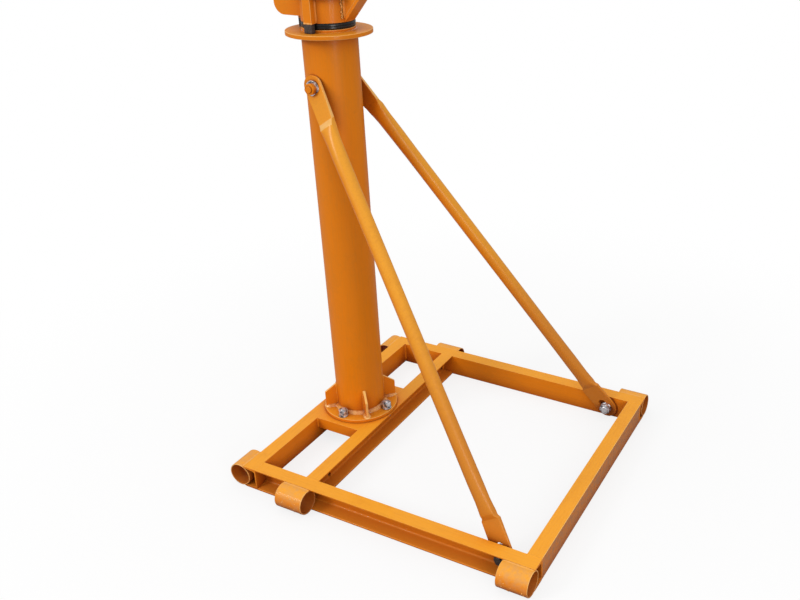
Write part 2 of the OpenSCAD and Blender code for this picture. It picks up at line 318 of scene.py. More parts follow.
def worn_layers(finish, worn, seed):
    """A layer that only a few parts have: painted sheen with scuffs on faces that look forward, a tone that
    darkens towards the bottom, or dust.
    """
    if worn == "sheen and scuffs on front":
        # Painted sheen on the faces that look forward, patchy with scuffs.
        front = ramp(finish, facing_along(finish, "X"), 0.5, 0.9)
        scuffs = ramp(finish, cloud(finish, 14, 5.0, seed=seed + 9), 0.3, 0.7)
        return [(front * (0.3 + 0.5 * scuffs), FRONT_SHEEN_AND_SCUFFS)]
    if worn == "darker low down":
        # The paint gets darker towards the bottom.
        low_down = ramp(finish, 1 - finish.height + 0.2 * finish.mottle, 0.3, 0.85)
        return [(low_down * 0.8, RUBBED)]
    if worn == "dusty":
        dusty = ramp(finish, finish.mottle * 0.6 + finish.spray * 0.4, 0.3, 0.7)
        return [(dusty * 0.4, DUST)]
    return []


def marked_layers(finish):
    """A pale painted highlight on faces marked as edges, and a darker tone inside the sleeves."""
    return [
        (face_mark(finish, "edge") * (0.35 + 0.6 * finish.mottle), EDGE_HIGHLIGHT),
        (face_mark(finish, "bore") * (0.5 + 0.5 * finish.mottle), DARKER_BORE),
    ]


def sheltered_layers(finish, shade):
    """Painted shade where steel stands around and in the corners, weaker on the low upward faces."""
    sheltered = 1 - openness(finish, 70)
    cornered = 1 - openness(finish, 14) + 0.2 * finish.mottle
    clear = 1 - finish.silted * 0.8
    return [
        (ramp(finish, sheltered, 0.15, 0.55) * shade * clear, SHADED),
        (ramp(finish, sheltered, 0.6, 0.9) * 0.6 * clear, CORNER_SHADE),
        (ramp(finish, cornered, 0.35, 1.0) * 0.75 * clear, CORNER_SHADE),
    ]


print("layers ready: weathered, worn, marked, sheltered")

# %% [markdown]
# ## One enamel for each kind of steel
# The same paint looks different on rolled channel, which shows long faint streaks from the mill, on flat
# plate, and on a weld, which is smoother and glossier than both. So one function mixes them all, and only
# what differs is said for each kind. The bump has the fine dimples of orange peel in it, the streaks and the
# slow waves of the spray.

# %% Mix the orange enamel
def enamel(
    name, streaks=(1, 1, 1), streak_depth=0.05, roughness=0.34, seed=0.0,
    top_light=0.0, coat=(0.08, 0.08), worn="none", shade=0.85,
):
    """Streaks run along the axis whose scale is small. Coat is the weight and roughness of the top gloss."""
    finish = new_finish(name)
    finish.facing_up = facing_along(finish, "Z")
    finish.height = finish.node("ShaderNodeSeparateXYZ", {}, {"Vector": finish.place}, "Z")
    finish.spray = cloud(finish, 90, seed=seed)
    finish.mottle = cloud(finish, 12, 3.0, seed=seed + 3)
    finish.streak = cloud(finish, 5, 2.0, streaks, seed=seed + 5)
    peel = cloud(finish, 1.6, 1.0, seed=seed + 7)
    # Upward faces low down get painted shade.
    low = ramp(finish, 1 - finish.height, 1 - LOW_SHADE_GONE, 1 - LOW_SHADE_FULL)
    finish.silted = ramp(finish, finish.facing_up, 0.5, 0.9) * low

    colour = DEEP_ORANGE
    layers = lit_shaded_and_worn_layers(finish, top_light, shade) + worn_layers(finish, worn, seed)
    for mask, top in layers + marked_layers(finish) + sheltered_layers(finish, shade):
        colour = blend(finish, mask, colour, top)
    finish.set(
        "Principled BSDF",
        Base_Color=colour,
        Roughness=roughness + 0.16 * finish.mottle,
        Specular_IOR_Level=0.17,
        Coat_Weight=coat[0],
        Coat_Roughness=coat[1],
        Normal=relief(finish, peel * 0.2 + finish.streak * streak_depth * 8 + finish.spray, 0.12),
    )
    print("mixed", name)
    return finish.owner


rail_paint = enamel("orange_enamel_on_rails", (0.07, 1, 1), 0.08, 0.42, seed=1.0)
cross_paint = enamel("orange_enamel_on_cross_channels", (1, 0.07, 1), 0.08, 0.42, seed=11.0)
front_paint = enamel("orange_enamel_on_front", (1, 0.07, 1), 0.08, 0.42, seed=31.0, worn="sheen and scuffs on front")
tube_paint = enamel("orange_enamel_on_tube", (1, 1, 0.07), seed=21.0)
plate_paint = enamel("orange_enamel_on_plate", seed=41.0, top_light=0.12, shade=0.35)
sleeve_paint = enamel("orange_enamel_on_sleeves", seed=71.0, worn="dusty")
brace_paint = enamel(
    "orange_enamel_on_braces", roughness=0.3, seed=51.0, top_light=0.4, coat=(0.2, 0.2), worn="darker low down"
)
weld_paint = enamel("orange_enamel_on_weld", roughness=0.16, seed=61.0, top_light=0.5, coat=(0.7, 0.12))

# %% [markdown]
# ## Bare metals
# The foot bolts, the lower brace bolts and the washers under the upper ones are bright zinc, dulled in
# patches. The slewing ring is black and greasy, and the guide shoes and the hidden nuts are raw dark steel.
# All three are two tones of one metal in clouds, with fine scratches in the bump.

# %% Mix zinc, greasy black and dark steel
def bare_metal(name, light, dark, roughness, metallic=1.0, grain=3.0):
    finish = new_finish(name)
    patch = cloud(finish, grain, 3.0)
    scratch = cloud(finish, grain / 4, 2.0, (1, 1, 6))
    finish.set(
        "Principled BSDF",
        Base_Color=blend(finish, ramp(finish, patch, 0.4, 0.65), light, dark),
        Roughness=roughness + 0.25 * patch,
        Metallic=metallic,
        Normal=relief(finish, patch + 0.4 * scratch, 0.08),
    )
    return finish.owner


ZINC_TONES = (0.84, 0.85, 0.88, 1), (0.12, 0.12, 0.14, 1)
BLACK_TONES = (0.003, 0.003, 0.004, 1), (0.010, 0.009, 0.008, 1)
STEEL_TONES = (0.05, 0.042, 0.04, 1), (0.10, 0.08, 0.07, 1)
zinc = bare_metal("bright_zinc", *ZINC_TONES, roughness=0.15, metallic=0.55, grain=12.0)
greasy_black = bare_metal("greasy_black_ring", *BLACK_TONES, roughness=0.12, metallic=0.0, grain=8.0)
dark_steel = bare_metal("dark_steel_shoe", *STEEL_TONES, roughness=0.42, metallic=0.5, grain=5.0)
print("metals:", zinc.name, greasy_black.name, dark_steel.name)

# %% [markdown]
# ## From a bmesh to a finished piece
# Every piece ends the same way: its doubles are merged, its faces turned outwards, and it becomes an object
# that stays at the origin with its place in its mesh. Faces are shaded smooth, and edges sharper than a
# limit stay crisp. Weighted normals let the large flat faces keep their own direction, so that the narrow
# rounded edges beside them catch the light alone.

# %% Finish a piece
SHARP = math.radians(50)


def piece(name, bm, finish, body="stand", slot="orange_paint", replaces=()):
    bmesh.ops.remove_doubles(bm, verts=bm.verts, dist=0.01 * MM)
    bmesh.ops.recalc_face_normals(bm, faces=bm.faces)
    for face in bm.faces:
        face.smooth = True
    for edge in bm.edges:
        edge.smooth = edge.is_manifold and edge.calc_face_angle() < SHARP
    mesh = bpy.data.meshes.new(name)
    bm.to_mesh(mesh)
    bm.free()
    mesh.materials.append(finish)
    made = bpy.data.objects.new(name, mesh)
    bpy.context.scene.collection.objects.link(made)
    weighted = made.modifiers.new("weighted_normals", "WEIGHTED_NORMAL")
    weighted.keep_sharp = True
    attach(made, body)
    if replaces:
        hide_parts(*replaces)
    return made


print("pieces stay crisp over", round(math.degrees(SHARP)), "degrees")

# %% [markdown]
# ## Steel with soft edges
# Nothing that comes from a rolling mill or a torch has an edge of no width. The simplest way to give the
# packed steel its soft edges is to copy each part's mesh, melt its triangles back into whole faces, and bevel
# every edge that turns sharply. The bevelled faces carry a mark, and the enamel paints a pale highlight
# there.

# %% Mark the faces that get a painted highlight or a darker tone
SLEEVE_INSIDE = 37.5 * MM


def mark_gusset_edges(bm, gusset, highlight_mark):
    """All faces of a gusset but its two flat sides are marked for a pale painted highlight."""
    along = middle(gusset) - mast
    along.z = 0
    along.normalize()
    for face in bm.faces:
        flat_side = abs(face.normal.x * along.y - face.normal.y * along.x) > 0.7
        face[highlight_mark] = 0.0 if flat_side else 1.0


def mark_bore(bm, sleeve):
    """The faces inside a sleeve, near its axis and looking inwards, are marked for a darker tone."""
    bore_mark = bm.faces.layers.float.new("bore")
    axis = middle(sleeve)
    along = 1 if "rear" in sleeve else 0
    for face in bm.faces:
        outward = face.calc_center_median() - axis
        outward[along] = 0
        looks_in = face.normal.dot(outward) < -0.5 * outward.length
        face[bore_mark] = float(looks_in and outward.length < SLEEVE_INSIDE)


print("bores are marked within", SLEEVE_INSIDE, "m of a sleeve's axis")

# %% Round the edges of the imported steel
def soft_steel(node, width):
    bm = bmesh.new()
    bm.from_mesh(frame["nodes"][node].data)
    highlight_mark = bm.faces.layers.float.new("edge")
    bmesh.ops.remove_doubles(bm, verts=bm.verts, dist=0.02 * MM)
    bmesh.ops.dissolve_limit(bm, angle_limit=math.radians(0.4), verts=bm.verts, edges=bm.edges)
    sharp = [edge for edge in bm.edges if edge.is_manifold and edge.calc_face_angle() > math.radians(32)]
    rounded = bmesh.ops.bevel(
        bm, geom=sharp, offset=width * MM, offset_type="OFFSET", affect="EDGES", segments=2, profile=0.5,
        material=-1, clamp_overlap=True,
    )
    # The bevelled faces get a pale painted highlight.
    for face in rounded["faces"]:
        face[highlight_mark] = 1.0
    if "gusset" in node:
        mark_gusset_edges(bm, node, highlight_mark)
    if "sleeve" in node:
        mark_bore(bm, node)
    return bm


def nodes_with(*words):
    return [node for node in frame["nodes"] if any(word in node for word in words)]


SLEEVES = nodes_with("sleeve")
for nodes, finish, width in (
    (nodes_with("rail", "seat"), rail_paint, 1.5),
    (["rear_channel", "middle_channel"], cross_paint, 1.5),
    (["front_channel"], front_paint, 1.5),
    (SLEEVES, sleeve_paint, 1.6),
    (["mast_tube", "head_hub"], tube_paint, 0.8),
    (nodes_with("plate", "gusset", "ring_collar"), plate_paint, 1.2),
    (nodes_with("cheek", "rib", "jib_sole"), plate_paint, 1.0),
):
    for node in nodes:
        body = frame["nodes"][node]["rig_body"]
        piece(node + "_steel", soft_steel(node, width), finish, body, replaces=[node])
    print(len(nodes), "parts with edges of", width, "mm")
for node in nodes_with("shoe"):
    piece(node + "_steel", soft_steel(node, 1.0), dark_steel, "head", "dark_steel", [node])
ring = frame["nodes"]["slewing_ring"]
ring.data.materials.clear()
ring.data.materials.append(greasy_black)

# %% [markdown]
# ## A skin drawn through outlines
# A flattened tube, a hexagon nut and a weld bead look very different, but each of them is a closed outline
# that travels and changes on its way. So one function makes them all. It starts with a ring of points that
# remember their turn, from 0 to 1 round the ring, and extrudes that ring again and again. Every section is
# a small function that says where the point of a given turn belongs.

# %% Sweep an outline through its sections
def sweep(bm, steps, sections, closed=False):
    turn_of = bm.verts.layers.float.get("turn") or bm.verts.layers.float.new("turn")
    ring = bmesh.ops.create_circle(bm, segments=steps, radius=1.0)["verts"]
    for number, vert in enumerate(ring):
        vert[turn_of] = number / steps
    edges = list({edge: None for vert in ring for edge in vert.link_edges})
    if not closed:
        bmesh.ops.contextual_create(bm, geom=ring)
    for number, section in enumerate(sections):
        if number:
            grown = bmesh.ops.extrude_edge_only(bm, edges=edges)["geom"]
            ring = [made for made in grown if isinstance(made, bmesh.types.BMVert)]
            edges = [made for made in grown if isinstance(made, bmesh.types.BMEdge)]
        for vert in ring:
            vert.co = section(vert[turn_of])
    if not closed:
        bmesh.ops.contextual_create(bm, geom=ring)


def facing(place, direction, spin=0.0):
    """A matrix that stands at place with its Z axis along direction, spun by some degrees."""
    turned = Vector(direction).to_track_quat("Z", "Y").to_matrix().to_4x4()
    return Matrix.Translation(place) @ turned @ Matrix.Rotation(math.radians(spin), 4, "Z")


def stack(bm, place, rings, steps=36):
    """A turned part from (height, radius) pairs in millimetres; a radius may also depend on the turn."""

    def section(height, radius):
        def point(turn):
            reach = radius(turn) if callable(radius) else radius
            angle = math.tau * turn
            return place @ (Vector((reach * math.cos(angle), reach * math.sin(angle), height)) * MM)

        return point

    sweep(bm, steps, [section(height, radius) for height, radius in rings])


print("ready to sweep outlines")

# %% [markdown]
# ## The braces
# Each brace is one steel tube whose ends were pressed flat and drilled. The press leaves a sharp fold where
# the flat ends, and from there the tube rises steeply at first and then takes a hand's length to become round
# again. The outline is therefore described by six numbers at each station: how far along the brace it lies,
# how far its middle stands off the seat, its tilt, its width, its thickness and its roundness. The flat hugs
# the mast or the rail with its inner face, so a thicker flat moves its middle outwards by half the gain.

# %% Place the braces
# Sizes in millimetres: the tube, the flat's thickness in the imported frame, and at its bolt and fold here.
TUBE, CAD_FLAT, FLAT, FOLD = 45, 7, 8, 13
# From the bolt along the brace: the middle of the tip's arc, and how far before the bolt the flat lifts off.
TIP, LIFT = -4, 12
TOP_CREASE, FOOT_CREASE = 105, 104
SPLAY = math.radians(12.57)
BOLT_BEHIND_MAST, BOLT_UNDER_TOP, BOLT_BEHIND_FRONT = 6 * MM, 146 * MM, 125 * MM
HALF_FLAT = CAD_FLAT / 2 * MM
BRACE_TOP = Vector((mast_x - BOLT_BEHIND_MAST, mast_r + HALF_FLAT, mast_top_z - BOLT_UNDER_TOP))
BRACE_FOOT = Vector((front_x - BOLT_BEHIND_FRONT, rail_y - HALF_FLAT, rail_z / 2))

run = BRACE_FOOT - BRACE_TOP
BRACE_SPAN = math.hypot(run.x, run.z) / MM
BRACE_ALONG = Vector((run.x, 0, run.z)).normalized()
BRACE_ACROSS = Vector((-BRACE_ALONG.z, 0, BRACE_ALONG.x))
print("a brace is", round(BRACE_SPAN), "mm from bolt to bolt")

# %% Press the ends flat
def flat_stations(crease, slope, flat, crease_width):
    """Stations of the flat, from its rounded tip to the fold: all in millimetres from the bolt."""
    stations = []
    for degrees in (14, 22, 32, 44, 58, 74, 90):
        half = flat / 2 * math.sin(math.radians(degrees))
        along = TIP - flat / 2 * math.cos(math.radians(degrees))
        stations.append((along, max(0, along + LIFT) * slope, 0.0, 2 * half, FLAT, 0))
    for along in (12, 30, 50, 70, 86, crease - 1.2):
        share = (along - TIP) / (crease - TIP)
        width = flat + (crease_width - flat) * share
        thick = FLAT + (FOLD - FLAT) * share
        stations.append((along, (along + LIFT) * slope, math.atan(slope), width, thick, 0))
    return [
        (along, middle + (thick - CAD_FLAT) / 2, tilt, width, thick, roundness)
        for along, middle, tilt, width, thick, roundness in stations
    ]


def pressed_end(crease, stand, out, flat, crease_width, narrow, long):
    """Stations of a flat that ends in a fold at crease, stand off its seat, and of the tube after it.

    Past the fold the tube's middle moves out by out, and its width goes from narrow to full over long."""
    stations = flat_stations(crease, stand / (crease + LIFT), flat, crease_width)
    for past in (1.2, 5, 10, 15, 20, 28, 40, 60, 85, 115, 150, 200, 260):
        rise = 0.42 * min(past / 18, 1) + 0.58 * (1 - (1 - min(past / 150, 1)) ** 2)
        shoulder = max(0, 1 - past / 10) ** 2
        width = TUBE + (narrow - TUBE) * (1 - min(past / long, 1)) ** 1.5 + (crease_width - narrow) * shoulder
        middle = stand + past * math.tan(SPLAY) + out * rise + (FOLD - CAD_FLAT) / 2 * (1 - rise)
        thick = FOLD + (TUBE - FOLD) * rise
        stations.append((crease + past, middle, SPLAY, width, thick, min(past / 55, 1) ** 0.6))
    return stations


print("a flat is", FLAT, "mm thick at its bolt and", FOLD, "mm at its fold")

# %% Draw the outline of a brace
SIDE_PART, CORNER_PART, FLAT_PART = (0, 0.18), (0.18, 0.34), (0.52, 0.48)
STRIP_CORNER = 2.6


def pressed_outline(turn, width, thick, roundness):
    """A point across and out of a tube's outline, between a flat strip with rounded edges and an ellipse.

    A quarter of the strip's outline goes up half its side, round its corner and along half its flat face."""
    across, out = math.cos(math.tau * turn), math.sin(math.tau * turn)
    quarter = math.acos(min(1, abs(across))) / (math.pi / 2)
    corner = min(thick / 2, STRIP_CORNER)
    side_share, corner_share, flat_share = (
        min(max(quarter - start, 0) / size, 1) for start, size in (SIDE_PART, CORNER_PART, FLAT_PART)
    )
    bend = corner_share * math.pi / 2
    flat_across = width / 2 - corner * (1 - math.cos(bend)) - (width / 2 - corner) * flat_share
    flat_out = (thick / 2 - corner) * side_share + corner * math.sin(bend)
    return (
        math.copysign(flat_across, across) * (1 - roundness) + width / 2 * across * roundness,
        math.copysign(flat_out, out) * (1 - roundness) + thick / 2 * out * roundness,
    )


def brace_section(side, along, stand, tilt, width, thick, roundness):
    def point(turn):
        across, out = pressed_outline(turn, width, thick, roundness)
        spot = BRACE_TOP + MM * (
            BRACE_ALONG * (along - out * math.sin(tilt))
            + BRACE_ACROSS * across
            + Vector((0, stand + out * math.cos(tilt), 0))
        )
        return Vector((spot.x, side * spot.y, spot.z))

    return point


print("a flat strip's corner is", STRIP_CORNER, "mm round")

# %% Cut the slot for the lower bolt
SLOT_HALF, SLOT_RADIUS, SLOT_SHIFT = 14, 13, 11


def slot_cutter(bm, middle, half_length, radius):
    """A rod along Y whose outline is a slot along the brace, longer than it is wide by twice half_length."""

    def section(y):
        def point(turn):
            along, across = radius * math.cos(math.tau * turn), radius * math.sin(math.tau * turn)
            reach = BRACE_ALONG * (along + math.copysign(half_length, along)) + BRACE_ACROSS * across
            return middle + reach * MM + Vector((0, y, 0))

        return point

    sweep(bm, 24, [section(-60 * MM), section(60 * MM)])


def carve(bm, cutter):
    """bm with cutter taken away from it, as a new bmesh."""
    objects = []
    for shape in (bm, cutter):
        bmesh.ops.recalc_face_normals(shape, faces=shape.faces)
        mesh = bpy.data.meshes.new("carving")
        shape.to_mesh(mesh)
        shape.free()
        objects.append(bpy.data.objects.new("carving", mesh))
        bpy.context.scene.collection.objects.link(objects[-1])
    boolean = objects[0].modifiers.new("carve", "BOOLEAN")
    boolean.object = objects[1]
    carved = bmesh.new()
    carved.from_object(objects[0], bpy.context.evaluated_depsgraph_get())
    for used in objects:
        mesh = used.data
        bpy.data.objects.remove(used)
        bpy.data.meshes.remove(mesh)
    return carved


print("the slot is", 2 * (SLOT_HALF + SLOT_RADIUS), "mm long")

# %% Make both braces
def brace(name, side):
    """One brace, with a pale painted highlight on the upper edge of its top flat and just past the fold."""
    top = pressed_end(TOP_CREASE, stand=28.7, out=10, flat=68, crease_width=59, narrow=56, long=230)
    lower = pressed_end(FOOT_CREASE, stand=31, out=0, flat=73, crease_width=68, narrow=53, long=260)
    foot = [(BRACE_SPAN - along, run.y / MM - stand, *shape) for along, stand, *shape in reversed(lower)]
    bm = bmesh.new()
    sweep(bm, 48, [brace_section(side, *station) for station in top + foot])
    cutter = bmesh.new()
    bolt = Vector((BRACE_FOOT.x, side * BRACE_FOOT.y, BRACE_FOOT.z))
    slot_cutter(cutter, bolt - BRACE_ALONG * SLOT_SHIFT * MM, SLOT_HALF, SLOT_RADIUS)
    bm = carve(bm, cutter)
    highlight_mark = bm.faces.layers.float.new("edge")
    # The top flat's upper strip and the faces just past the fold get a pale painted highlight.
    for face in bm.faces:
        along = (face.calc_center_median() - BRACE_TOP).dot(BRACE_ALONG) / MM
        strip = face.normal.dot(BRACE_ACROSS) > 0.8 and along < TOP_CREASE
        fold = TOP_CREASE < along < TOP_CREASE + 20 and face.normal.y * side > 0.4
        face[highlight_mark] = 1.0 if strip or fold else 0.0
    return piece(name + "_tube", bm, brace_paint, replaces=[name])


for name, side in (("brace_left", 1), ("brace_right", -1)):
    made = brace(name, side)
    print(made.name, "has", len(made.data.polygons), "faces")

# %% [markdown]
# ## Bolts, nuts and washers
# A hexagon nut is a hexagon prism whose corners are turned down to a cone, and that cone is what draws the
# arcs on its sides. In a ring of 36 points the hexagon is a radius that changes with the turn, and cutting
# that radius off at a limit gives the turned corners for nothing. A thread is a stack of ridges.

# %% Turn nuts, washers and threads
def hexagon(flats, limit):
    def radius(turn):
        from_middle = (turn * 6 % 1 - 0.5) * math.tau / 6
        return min(flats / 2 / math.cos(from_middle), limit)

    return radius


def hex_nut(bm, place, flats, low, high):
    """A nut from low to high, whose turned face is narrower than its flats and has a dished middle."""
    corner, face = flats / math.sqrt(3), 0.47 * flats
    drop = (corner - face) * math.tan(math.radians(30))
    rings = [(low, hexagon(flats, 0.55 * flats))]
    for share in (0, 0.25, 0.5, 0.75, 1):
        limit = corner + (face - corner) * share
        rings.append((high - drop * (1 - share), hexagon(flats, limit)))
    stack(bm, place, rings + [(high - 0.6, face - 2.4)])


def washer(bm, place, outer, low, high):
    round_off = 0.25 * (high - low)
    rim, face = outer / 2, outer / 2 - round_off
    stack(bm, place, [(low, face), (low + round_off, rim), (high - round_off, rim), (high, face)])


def thread(bm, place, size, pitch, low, high):
    rings = [(low, size / 2)]
    for ridge in range(int((high - low) / pitch)):
        height = low + ridge * pitch
        rings += [(height + 0.5 * pitch, size / 2 - 0.61 * pitch), (height + pitch, size / 2)]
    stack(bm, place, rings + [(high + 0.5, size / 2 - 0.7 * pitch)], 24)


def fastener(name, finish, slot, build):
    bm = bmesh.new()
    build(bm)
    return piece(name, bm, finish, slot=slot)


print("ready to turn fasteners")

# %% Bolt the crane together
FOOT_CIRCLE_R = 110
FLANGE = 8
TOP_SEAT, FOOT_SEAT = 8.2 * MM, 8.6 * MM
WEB = 5 * MM


def foot_bolts(bm):
    for number, angle in enumerate((0, 90, 180, 270)):
        seat = Vector((mast_x, 0, foot_z)) + outwards(angle) * FOOT_CIRCLE_R * MM
        above = facing(seat, (0, 0, 1), 17 + 41 * number)
        washer(bm, above, 33, 0, 4)
        hex_nut(bm, above, 29, 4, 24)
        thread(bm, above, 16, 2, 22, 28 - number % 2)
        under_flange = seat - Vector((0, 0, foot_z - rail_z + FLANGE * MM))
        hex_nut(bm, facing(under_flange, (0, 0, -1), 8 + 23 * number), 27, 0, 11)


def top_place(side):
    seat = Vector((BRACE_TOP.x, side * (BRACE_TOP.y + TOP_SEAT), BRACE_TOP.z))
    return facing(seat, (0, side, 0), 12 if side < 0 else 31)


def top_bolts(bm):
    for side in (-1, 1):
        hex_nut(bm, top_place(side), 32, 5, 20)
        thread(bm, top_place(side), 20, 2.5, 18, 24)


def top_washers(bm):
    for side in (-1, 1):
        washer(bm, top_place(side), 47, 0, 5)


def rail_bolts(bm):
    """The right washer is wide enough to cover the slot that it lies on."""
    for side in (-1, 1):
        seat = Vector((BRACE_FOOT.x, side * (BRACE_FOOT.y - FOOT_SEAT), BRACE_FOOT.z))
        inner = facing(seat, (0, -side, 0), 20)
        washer(bm, inner, 40 if side > 0 else 66, 0, 4)
        hex_nut(bm, inner, 36, 4, 19)
        thread(bm, inner, 24, 3, 17, 24)
        stack(bm, inner, [(-30, 12), (1, 12)], 24)


def rail_nuts(bm):
    for side in (-1, 1):
        seat = Vector((BRACE_FOOT.x, side * (rail_y + WEB), BRACE_FOOT.z))
        outer = facing(seat, (0, side, 0), 9)
        washer(bm, outer, 44, 0, 4)
        hex_nut(bm, outer, 36, 4, 19)
        thread(bm, outer, 24, 3, 17, 26)


for name, finish, slot, build in (
    ("foot_bolts", zinc, "dark_steel", foot_bolts),
    ("brace_top_bolts", tube_paint, "orange_paint", top_bolts),
    ("brace_top_washers", zinc, "dark_steel", top_washers),
    ("rail_bolts", zinc, "dark_steel", rail_bolts),
    ("rail_nuts", dark_steel, "dark_steel", rail_nuts),
):
    print(name, "has", len(fastener(name, finish, slot, build).data.polygons), "faces")

# %% [markdown]
# ## Weld beads
# A fillet bead fills the corner between two plates, so its outline has one leg on each of them and a gently
# bulging face between. The bead swells and shrinks a little along its way, which a smooth noise at its own
# place gives, always the same. It tapers off where it ends. A bead round a tube is the same bead on a circle.

# %% Lay one weld bead
UP, DOWN = Vector((0, 0, 1)), Vector((0, 0, -1))


def bead(bm, places, legs, depth=0.15, closed=False):
    """A bead through (corner, first leg's direction, second leg's direction) places.

    Legs are two lengths in millimetres, and depth is the share of them that is sunk into the steel."""

    def section(corner, first, second, swell):
        def point(turn):
            reach = []
            for part in (math.cos(math.tau * turn), math.sin(math.tau * turn)):
                reach.append(max(math.copysign(abs(part) ** 1.25, part), -depth))
            return corner + (first * legs[0] * reach[0] + second * legs[1] * reach[1]) * swell * MM

        return point

    sections = []
    for number, (corner, first, second) in enumerate(places):
        swell = 1 + 0.22 * noise.noise(corner / (9 * MM)) + 0.06 * math.sin(number * 2.1)
        end = min(number, len(places) - 1 - number)
        sections.append(section(corner, first, second, swell if closed else swell * min(1, 0.45 + 0.3 * end)))
    if closed:
        sections.append(sections[0])
    sweep(bm, 12, sections, closed)


def straight_bead(bm, start, end, first, second, legs=(6, 6), depth=0.15):
    start, end, first, second = Vector(start), Vector(end), Vector(first), Vector(second)
    count = max(3, round((end - start).length / (5 * MM)))
    places = [(start.lerp(end, number / count), first, second) for number in range(count + 1)]
    bead(bm, places, legs, depth)


def upright_bead(bm, foot, low, high, first, second, legs):
    straight_bead(bm, foot + UP * low, foot + UP * high, first, second, legs)


def ring_bead(bm, radius, height, first, legs=(7, 7)):
    places = []
    for degrees in range(0, 360, 4):
        out = outwards(degrees)
        places.append((Vector((mast_x, 0, height)) + out * radius, Vector(first), out))
    bead(bm, places, legs, closed=True)


print("ready to weld")

# %% Weld the mast
GUSSET_ANGLES = (45, 135, 225, 315)
GUSSET_HALF, GUSSET_END, GUSSET_TIP = 4 * MM, 127 * MM, 126 * MM
SEAM_HEIGHT, SEAM_SINK = 92 * MM, 0.2 * MM
TIP_BEAD_HALF = 7 * MM


def mast_welds(bm):
    ring_bead(bm, mast_r, foot_z, UP, (10, 12))
    ring_bead(bm, mast_r, mast_top_z, DOWN, (5, 6))
    ring_bead(bm, hub_r, top_plate_z, UP, (2, 2.5))
    foot = Vector((mast_x, 0, foot_z))
    for degrees in GUSSET_ANGLES:
        out = outwards(degrees)
        beside = sideways(out)
        for side in (1, -1):
            face = foot + beside * side * GUSSET_HALF
            straight_bead(bm, face + out * mast_r, face + out * GUSSET_END, UP, beside * side, (8, 9))
            upright_bead(bm, face + out * (mast_r - SEAM_SINK), 0, SEAM_HEIGHT, beside * side, out, (4, 4))
        tip = foot + out * GUSSET_TIP
        straight_bead(bm, tip - beside * TIP_BEAD_HALF, tip + beside * TIP_BEAD_HALF, UP, out, (7, 7))


print("the mast's foot has", len(GUSSET_ANGLES), "gussets to weld")

# %% Weld the floor frame
SLIM_LEG, FLUSH = 0.8, 0.7
OFF_FLANGE, OFF_CORNER, OFF_SEAT = 9 * MM, 4 * MM, 1 * MM
seat_low, seat_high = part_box("mast_seat_left")


def cross_channel_welds(bm, low_x, high_x, back, out, out_leg):
    """The beads at both ends of a cross channel whose web has its back at back, towards out."""
    inner = back - out.x * WEB
    for side in (-1, 1):
        end = Vector((0, side * rail_y, 0))
        inward = Vector((0, -side, 0))
        for x, first, leg in ((back, out, out_leg), (inner, -out, 5)):
            foot = end + Vector((x, 0, 0))
            upright_bead(bm, foot, OFF_FLANGE, rail_z - OFF_FLANGE, first, inward, (leg, 5))
        seam = end + Vector((0, 0, rail_z))
        straight_bead(
            bm, seam + Vector((low_x, 0, 0)), seam + Vector((high_x, 0, 0)), (0, 1, 0), UP, (4, FLUSH), 1
        )


def frame_welds(bm):
    """The front channel's outer beads are slim, because they may not stand out of the crane's box."""
    low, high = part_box("middle_channel")
    cross_channel_welds(bm, low.x, high.x, low.x, Vector((-1, 0, 0)), 5)
    low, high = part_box("front_channel")
    cross_channel_welds(bm, low.x, high.x, high.x, Vector((1, 0, 0)), SLIM_LEG)
    seat_foot = seat_low.z + OFF_SEAT
    for side in (-1, 1):
        corner = Vector((rear_in_x, side * rail_y, 0))
        outer_end = Vector((rear_in_x, side * rail_out_y, rail_z))
        straight_bead(bm, corner + UP * rail_z, outer_end, (1, 0, 0), UP, (4, FLUSH), 1)
        upright_bead(bm, corner, OFF_CORNER, rail_z - OFF_CORNER, (1, 0, 0), (0, -side, 0), (6, 6))
        for y, outward in ((seat_low.y, -1), (seat_high.y, 1)):
            for x, first in ((rear_in_x, 1), (middle_x, -1)):
                foot = Vector((x, side * y, 0))
                beside = Vector((0, side * outward, 0))
                upright_bead(bm, foot, seat_foot, rail_z - OFF_SEAT, (first, 0, 0), beside, (5, 5))


print("the web beads are", round((rail_z - 2 * OFF_FLANGE) / MM), "mm long")

# %% Weld the sleeves
# How far from the channel's face and from the frame's top and bottom each seam runs.
REAR_SEAM_OUT, SIDE_SEAM_OUT, SEAM_IN = 1.5 * MM, 2.5 * MM, 2.8 * MM


def sleeve_welds(bm):
    for node in SLEEVES:
        low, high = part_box(node)
        side = 1 if low.y > 0 else -1
        if "rear" in node:
            x = rear_x - REAR_SEAM_OUT
            start, end, across = Vector((x, low.y, 0)), Vector((x, high.y, 0)), Vector((-1, 0, 0))
        else:
            y = side * (rail_out_y + SIDE_SEAM_OUT)
            start, end, across = Vector((low.x, y, 0)), Vector((high.x, y, 0)), Vector((0, side, 0))
        for height, up in ((rail_z - SEAM_IN, 1), (SEAM_IN, -1)):
            lift = UP * height
            straight_bead(bm, start + lift, end + lift, across, UP * up, (8.5, 2.2), 1)


print(len(SLEEVES), "sleeves to weld")

# %% Weld the head
RIB_ANGLES = (-90, 90, 180)
RIB_ROOT, RIB_DEPTH, RIB_END = 78.8 * MM, 20 * MM, 2 * MM
RIB_HALF = (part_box("guide_rib_left")[1].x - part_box("guide_rib_left")[0].x) / 2
CHEEK_LOW, CHEEK_TOP, CHEEK_SINK = 12 * MM, 3 * MM, 3 * MM
cheek_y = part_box("jib_cheek_left")[1].y
hub_foot = Vector((mast_x, 0, hub_low_z))


